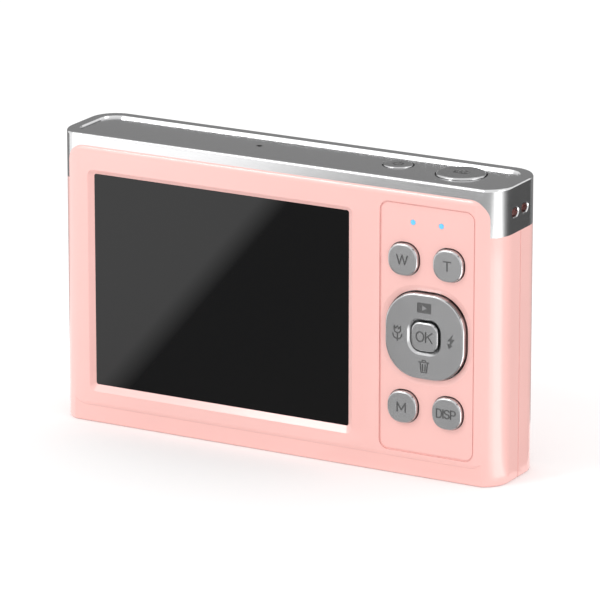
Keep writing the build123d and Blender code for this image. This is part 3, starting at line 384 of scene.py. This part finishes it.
def blocks(name, boxes, bevel=0.06):
    """One mesh of small boxes with eased edges: (x0, x1, y0, y1, z0, z1) in millimetres."""
    made = bmesh.new()
    for x0, x1, y0, y1, z0, z1 in boxes:
        middle = Vector(((x0 + x1) / 2, (y0 + y1) / 2, (z0 + z1) / 2)) * MM
        size = Vector((x1 - x0, y1 - y0, z1 - z0)) * MM
        place = Matrix.Translation(middle) @ Matrix.Diagonal((*size, 1))
        cube = bmesh.ops.create_cube(made, size=1.0, matrix=place)
        edges = list({edge for vert in cube["verts"] for edge in vert.link_edges})
        offset = min(bevel * MM, min(size) * 0.3)
        bmesh.ops.bevel(made, geom=edges, offset=offset, segments=2, affect="EDGES", profile=0.5)
    mesh = bpy.data.meshes.new(name)
    made.to_mesh(mesh)
    made.free()
    return mesh


def turned_y(name, rings, x, z, steps=96):
    """Closed rings turned about a line along y: each is a loop of (radius, y) points."""
    corners, faces = [], []
    for ring in rings:
        base, count = len(corners), len(ring)
        for k in range(steps):
            turn = 2 * math.pi * k / steps
            corners += [(x + r * math.cos(turn), y, z + r * math.sin(turn)) for r, y in ring]
        for k in range(steps):
            here, there = base + k * count, base + (k + 1) % steps * count
            faces += [(here + i, here + (i + 1) % count, there + (i + 1) % count, there + i)
                      for i in range(count)]
    return mesh_of(name, corners, faces)


def thread(name, crest, root, pitch, low, high, steps=48):
    """A helical ridge round the z axis."""
    corners, faces = [], []
    total = int((high - low) / pitch * steps)
    for k in range(total + 1):
        turn, rise = 2 * math.pi * k / steps, low + pitch * k / steps
        for r, share in ((root, -0.3), (crest, -0.06), (crest, 0.06), (root, 0.3)):
            corners.append((r * math.cos(turn), r * math.sin(turn), rise + share * pitch))
    for k in range(total):
        a, b = 4 * k, 4 * k + 4
        faces += [(a + i, b + i, b + i + 1, a + i + 1) for i in range(3)] + [(a + 3, b + 3, b, a)]
    faces += [(0, 1, 2, 3), tuple(4 * total + i for i in (3, 2, 1, 0))]
    return mesh_of(name, corners, faces)


def in_mm(node):
    low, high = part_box(node)
    return low / MM, high / MM


# thread of the tripod socket
piece("tripod_thread", thread("tripod_thread", 2.42, 2.59, 1.27, 0.6, 5.5), brass, "camera")

def coil(name, centre, mean, wire, low, high, turns, steps=36, sides=10):
    """A wire coil about an upright axis, between two heights of its outer faces."""
    corners, faces = [], []
    total = int(turns * steps)
    for k in range(total + 1):
        turn, rise = 2 * math.pi * k / steps, low + wire + (high - low - 2 * wire) * k / total
        for i in range(sides):
            round_wire = 2 * math.pi * i / sides
            r = mean + wire * math.cos(round_wire)
            corners.append((centre[0] + r * math.cos(turn), centre[1] + r * math.sin(turn),
                            rise + wire * math.sin(round_wire)))
    for k in range(total):
        a, b = sides * k, sides * (k + 1)
        faces += [(a + i, a + (i + 1) % sides, b + (i + 1) % sides, b + i) for i in range(sides)]
    faces += [tuple(reversed(range(sides))), tuple(sides * total + i for i in range(sides))]
    return mesh_of(name, corners, faces)


# spring of the shutter button, in place of the CAD spring, with a mesh of its own
low, high = in_mm("shutter_spring")
spring = piece("shutter_coil", coil("shutter_coil", ((low.x + high.x) / 2, (low.y + high.y) / 2), 3.0, 0.19,
                                    low.z, high.z, 3.5), screw_steel, "camera")
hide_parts("shutter_spring")
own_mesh(spring)

# contacts on both sides of the charging socket's tongue
low, high = in_mm("usb_port")
tongue_y, tongue_z = (low.y + high.y) / 2, (low.z + high.z) / 2
strips = [(-48.9, -45.0, *sorted((tongue_y + side * 0.34, tongue_y + side * 0.40)),
           tongue_z + 0.55 * i - 0.14, tongue_z + 0.55 * i + 0.14) for side in (-1, 1) for i in range(-5, 6)]
piece("usb_contacts", blocks("usb_contacts", strips, 0.02), gold, "camera")

# fine light-trapping ridges on the steps inside the barrel
low, high = in_mm("lens_barrel_cover")
lens_x, lens_z, lip = (low.x + high.x) / 2, (low.z + high.z) / 2, high.y
ridges = []
for start, count, back in ((10.05, 3, 0.7), (8.72, 3, 1.4)):
    for i in range(count):
        r = start + 0.3 * i
        ridges.append([(r, lip - back - 0.02), (r + 0.16, lip - back - 0.02), (r + 0.08, lip - back + 0.09)])
piece("lens_ridges", turned_y("lens_ridges", ridges, lens_x, lens_z), deep_black, "camera")

# ribs that spread the light of the flash
low, high = in_mm("flash_window")
flash_x, flash_z = (low.x + high.x) / 2, (low.z + high.z) / 2
ribs = [(flash_x + 0.55 * i - 0.2, flash_x + 0.55 * i + 0.2, low.y - 0.22, low.y - 0.02,
         flash_z - 2.3, flash_z + 2.3) for i in range(-7, 8)]
piece("flash_ribs", blocks("flash_ribs", ribs, 0.1), clear, "camera")

# woven dust screens of the speaker and the microphone
wires = [(-31.0 + 0.3 * i, -30.88 + 0.3 * i, -1.2, 1.2, 1.42, 1.45) for i in range(41)]
wires += [(-31.0, -18.9, -1.2 + 0.3 * i, -1.08 + 0.3 * i, 1.45, 1.48) for i in range(8)]
piece("speaker_screen", blocks("speaker_screen", wires, 0.01), steel, "camera")
low, high = in_mm("microphone")
mic_x, mic_y = (low.x + high.x) / 2, (low.y + high.y) / 2
wires = [(mic_x + 0.2 * i - 0.03, mic_x + 0.2 * i + 0.03, mic_y - 0.42, mic_y + 0.42, 57.2, 57.25)
         for i in range(-2, 3)]
wires += [(mic_x - 0.42, mic_x + 0.42, mic_y + 0.2 * i - 0.03, mic_y + 0.2 * i + 0.03, 57.25, 57.3)
          for i in range(-2, 3)]
piece("microphone_screen", blocks("microphone_screen", wires, 0.01), steel, "camera")

# small parts soldered between the chips
board_face = in_mm("main_board")[1].y
small = []
for x0, z0, columns, rows in ((27.6, 11.0, 7, 6), (-2.0, 12.0, 6, 3), (13.5, 26.2, 4, 2)):
    for i in range(columns):
        for j in range(rows):
            wide = 0.5 if (i + 2 * j) % 3 else 0.8
            x, z = x0 + 1.5 * i, z0 + 1.3 * j
            small.append((x, x + wide, board_face, board_face + 0.35 + 0.1 * ((i + j) % 2), z, z + 0.45))
piece("small_parts", blocks("small_parts", small, 0.05), ceramic, "camera")

# pads where the battery meets its sprung contacts
low, high = in_mm("battery")
pads = [(x - 0.9, x + 0.9, high.y - 4.0, high.y - 2.0, high.z, high.z + 0.03) for x in (18.0, 22.5, 27.0)]
piece("battery_pads", blocks("battery_pads", pads, 0.01), gold, "camera")

# bonding pads round the image sensor
low, high = in_mm("image_sensor")
face = in_mm("sensor_board")[1].y
pads = []
for i in range(9):
    z = low.z + (high.z - low.z) * (i + 0.5) / 9
    pads += [(low.x - 0.75, low.x - 0.12, face, face + 0.05, z - 0.17, z + 0.17),
             (high.x + 0.12, high.x + 0.75, face, face + 0.05, z - 0.17, z + 0.17)]
piece("sensor_pads", blocks("sensor_pads", pads, 0.01), gold, "camera")


# ---------------------------------------------------------------- floor, lights and camera

def plane(name, corners, made):
    mesh = bpy.data.meshes.new(name)
    mesh.from_pydata(corners, [], [tuple(range(len(corners)))])
    obj = bpy.data.objects.new(name, mesh)
    bpy.context.scene.collection.objects.link(obj)
    mesh.materials.append(made)
    obj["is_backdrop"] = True
    return obj


floor_material, _, _ = material("floor", (0.9, 0.9, 0.9), 0.9, Specular_IOR_Level=0.0,
                                Emission_Color=(1, 1, 1, 1), Emission_Strength=0.1)
# the floor lies a hair below the base, so that the two don't share a plane
plane("floor", [(-6, -6, -5e-5), (6, -6, -5e-5), (6, 6, -5e-5), (-6, 6, -5e-5)], floor_material)


def card(name, corners, brightness):
    """A studio card that only shows in reflections, as bright as the number."""
    made = bpy.data.materials.new(name)
    made.use_nodes = True
    tree = made.node_tree
    tree.nodes.clear()
    glow = tree.nodes.new("ShaderNodeEmission")
    glow.inputs["Color"].default_value = (1, 1, 1, 1)
    glow.inputs["Strength"].default_value = brightness
    output = tree.nodes.new("ShaderNodeOutputMaterial")
    tree.links.new(glow.outputs["Emission"], output.inputs["Surface"])
    obj = plane(name, corners, made)
    obj.visible_camera = obj.visible_diffuse = obj.visible_shadow = obj.visible_transmission = False
    return obj, tree, glow


def ramp_of(tree, value, stops):
    """Maps a value through brightness stops, (place, brightness)."""
    ramp = tree.nodes.new("ShaderNodeValToRGB")
    while len(ramp.color_ramp.elements) < len(stops):
        ramp.color_ramp.elements.new(0.5)
    for element, (place, level) in zip(ramp.color_ramp.elements, stops):
        element.position, element.color = place, (*[level / RAMP_TOP] * 3, 1)
    tree.links.new(value, ramp.inputs["Fac"])
    return ramp.outputs["Color"]


def offset_from(tree, start):
    source = tree.nodes.new("ShaderNodeNewGeometry")
    offset = tree.nodes.new("ShaderNodeVectorMath")
    offset.operation = "SUBTRACT"
    offset.inputs[1].default_value = start
    tree.links.new(source.outputs["Position"], offset.inputs[0])
    return offset.outputs["Vector"]


def along_line(tree, start, end):
    """0 at start and 1 at end, measured along the line between them."""
    along = tree.nodes.new("ShaderNodeVectorMath")
    along.operation = "DOT_PRODUCT"
    run = Vector(end) - Vector(start)
    along.inputs[1].default_value = run / run.length_squared
    tree.links.new(offset_from(tree, start), along.inputs[0])
    return along.outputs["Value"]


def faded(tree, glow, stops, start, end):
    """The card's brightness changes along the line from start to end."""
    tree.links.new(ramp_of(tree, along_line(tree, start, end), stops), glow.inputs["Color"])
    glow.inputs["Strength"].default_value = RAMP_TOP


def faded_round(tree, glow, stops, centre):
    """The card's brightness changes with the bearing from the centre: 0 along -y, 180 degrees at place 1."""
    parts = tree.nodes.new("ShaderNodeSeparateXYZ")
    tree.links.new(offset_from(tree, centre), parts.inputs["Vector"])
    bearing = calc(tree, "ARCTAN2", parts.outputs[0], calc(tree, "MULTIPLY", parts.outputs[1], -1.0))
    place = calc(tree, "DIVIDE", bearing, math.pi)
    tree.links.new(ramp_of(tree, place, stops), glow.inputs["Color"])
    glow.inputs["Strength"].default_value = RAMP_TOP


def see_through(tree, glow, start, end):
    """The card is clear at start and turns solid towards end."""
    clear_shader = tree.nodes.new("ShaderNodeBsdfTransparent")
    both = tree.nodes.new("ShaderNodeMixShader")
    factor = ranged(tree, along_line(tree, start, end), 0.0, 1.0, 0.0, 1.0)
    tree.links.new(factor, both.inputs["Fac"])
    tree.links.new(clear_shader.outputs["BSDF"], both.inputs[1])
    tree.links.new(glow.outputs["Emission"], both.inputs[2])
    tree.links.new(both.outputs["Shader"], tree.nodes["Material Output"].inputs["Surface"])


def at(*places, z=0.3):
    """Corners in millimetres, just over the floor."""
    return [(x * MM, y * MM, z * MM) for x, y in places]


# what the display mirrors: pale floor on its left, a dark card past a slanting soft edge
shade_corners = at((-101, -186), (-68, -186), (11, -34), (-55.5, -34))
_, shade_tree, shade_glow = card("card_display", shade_corners, 0.165)
see_through(shade_tree, shade_glow, (-99.5 * MM, -186 * MM, 0), (-92.5 * MM, -188.1 * MM, 0))
# what the keys mirror
card("card_keys", at((-67, -186), (12, -186), (49, -16), (8, -16), (12, -34)), 0.50)
# what the trim over the display mirrors, paler to the left
_, band_tree, band_glow = card("card_trim", at((-330, -260), (10, -260), (14, -190), (-330, -190)), 0.5)
faded(band_tree, band_glow,
      [(0.0, 1.6), (0.26, 1.36), (0.40, 1.08), (0.55, 0.74), (0.70, 0.40), (0.92, 0.28)],
      (-150 * MM, -209 * MM, 0), (-50 * MM, -209 * MM, 0))
# what the right-hand end mirrors
card("card_end", at((52, -6), (330, 64), (330, 420), (120, 420), (52, 12)), 0.095)
# what the upright corner between the back and the right-hand end mirrors
corner = (44.2, -8.5)


def sector(name, inner, outer, stops, z):
    """Part of a ring round the corner, from straight behind to past the right-hand end."""
    turns = [math.radians(t) for t in range(-6, 137, 2)]
    near, far = [[(corner[0] + reach * math.sin(t), corner[1] - reach * math.cos(t)) for t in turns]
                 for reach in (inner, outer)]
    _, tree, glow = card(name, at(*near, *reversed(far), z=z), 1.0)
    faded_round(tree, glow, stops, (corner[0] * MM, corner[1] * MM, 0))


# the plastic below mirrors the near part, the trim above it the far part
sector("card_corner", 9, 172, [(0.0, 0.55), (0.15, 0.5), (0.24, 0.7), (0.33, 2.6), (0.38, 3.8), (0.50, 3.8),
                               (0.58, 0.8), (0.68, 0.12)], 0.6)
sector("card_corner_far", 172, 420, [(0.0, 0.6), (0.06, 0.53), (0.12, 0.45), (0.18, 0.48), (0.26, 0.52),
                                     (0.32, 0.72), (0.36, 1.5), (0.49, 1.5), (0.56, 0.68), (0.62, 0.3),
                                     (0.69, 0.14), (0.76, 0.1)], 0.6)
# what the flat top mirrors
card("card_top", [(-1.2, 0.45, 0.002), (0.35, 0.75, 0.002), (0.35, 0.75, 0.9), (-1.2, 0.45, 0.9)], 0.27)
# what the rounded upper edges mirror
card("card_box", [(-1.05, -0.75, 0.35), (-0.35, -1.15, 0.35), (-0.35, -0.95, 1.1), (-1.0, -0.55, 1.1)], 2.2)
# what the far edge of the top mirrors
card("card_back", at((-500, 30), (50, 30), (350, 750), (-1200, 450)), 0.27)

world = bpy.data.worlds.new("studio")
bpy.context.scene.world = world
world.use_nodes = True
world.node_tree.nodes["Background"].inputs["Color"].default_value = (1, 1, 1, 1)
world.node_tree.nodes["Background"].inputs["Strength"].default_value = 1.0


def area(name, place, aim, size, power):
    data = bpy.data.lights.new(name, "AREA")
    data.shape, data.size, data.energy = "DISK", size, power
    obj = bpy.data.objects.new(name, data)
    bpy.context.scene.collection.objects.link(obj)
    obj.location = place
    obj.rotation_euler = (Vector(aim) - Vector(place)).to_track_quat("-Z", "Y").to_euler()
    return obj


area("key", (-0.5, -0.8, 0.9), (0, 0, 0.03), 0.4, 2.7)
area("fill", (0.9, 0.05, 0.35), (0.05, 0, 0.03), 0.5, 1.05)

azimuth, elevation, distance = math.radians(29.07), math.radians(16.198), 1.0537
back = Vector((math.sin(azimuth) * math.cos(elevation), -math.cos(azimuth) * math.cos(elevation),
               math.sin(elevation)))
aim = Vector((0.827, -4.6, 29.545)) * MM
camera_data = bpy.data.cameras.new("camera_view")
camera_data.sensor_width, camera_data.lens = 36.0, 315.9
camera = bpy.data.objects.new("camera_view", camera_data)
bpy.context.scene.collection.objects.link(camera)
camera.location = aim + back * distance
camera.rotation_mode = "QUATERNION"
camera.rotation_quaternion = (-back).to_track_quat("-Z", "Y")
camera_data.clip_start, camera_data.clip_end = 0.05, 20
bpy.context.scene.camera = camera
bpy.context.scene.view_settings.view_transform = "Standard"

low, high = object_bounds()
